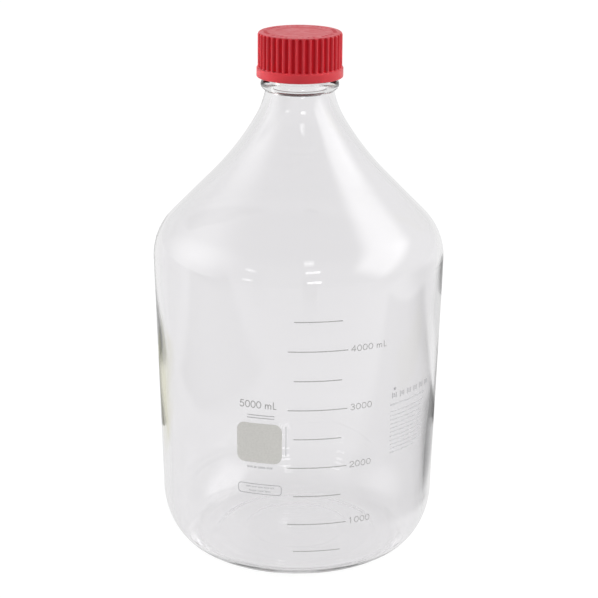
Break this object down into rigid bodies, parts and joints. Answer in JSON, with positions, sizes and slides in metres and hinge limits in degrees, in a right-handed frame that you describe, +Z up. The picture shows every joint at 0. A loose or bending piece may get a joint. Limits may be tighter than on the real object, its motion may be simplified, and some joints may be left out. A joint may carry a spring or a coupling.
{
  "type": "laboratory reagent bottle",
  "caption": "Large clear glass laboratory storage bottle with sloping shoulder, threaded neck, pouring ring, ribbed red screw cap with seal, and fired-on volume scale and writing panel.",
  "frame": {"origin": "centre of the base, on the plane the bottle stands on", "axes": "+Z up the bottle's axis towards the cap; the middle of the printed scale faces -Y; +X to the right of someone who reads the scale"},
  "size_m": [0.1822, 0.1822, 0.332],
  "materials": {
    "glass": "clear polished borosilicate glass",
    "ring_plastic": "moulded plastic",
    "cap_plastic": "satin moulded polyester",
    "silicone": "silicone rubber",
    "ptfe": "thin fluoropolymer film",
    "enamel": "fired enamel print",
    "panel_enamel": "matte fired enamel, takes pencil"
  },
  "bodies": {
    "bottle": {"bottle_body": "glass", "pour_ring": "ring_plastic", "scale_line_0500": "enamel", "scale_line_1000": "enamel", "scale_line_1500": "enamel", "scale_line_2000": "enamel", "scale_line_2500": "enamel", "scale_line_3000": "enamel", "scale_line_3500": "enamel", "scale_line_4000": "enamel", "scale_line_4500": "enamel", "scale_number_1000": "enamel", "scale_number_2000": "enamel", "scale_number_3000": "enamel", "scale_number_4000": "enamel", "capacity_mark": "enamel", "writing_panel": "panel_enamel", "grade_bar": "enamel", "type_bar": "enamel", "side_bar": "enamel", "code_frame": "enamel", "code_bar_upper": "enamel", "code_bar_lower": "enamel", "notice_dot": "enamel", "notice_heading": "enamel", "notice_lines": "enamel"},
    "seal": {"seal_disc": "silicone", "seal_facing": "ptfe"},
    "cap": {"screw_cap": "cap_plastic"}
  },
  "joints": [
    {"name": "cap_lift", "type": "slide", "parent": "bottle", "child": "seal", "axis": [0, 0, 1], "range_m": [0, 0.0281]},
    {"name": "cap_turn", "type": "hinge", "parent": "seal", "child": "cap", "pos_m": [0, 0, 0.31], "axis": [0, 0, 1], "range_deg": [0, 2520]}
  ],
  "couplings": [
    {"joint": "cap_lift", "follows": "cap_turn", "m_per_rad": 0.00063662}
  ]
}
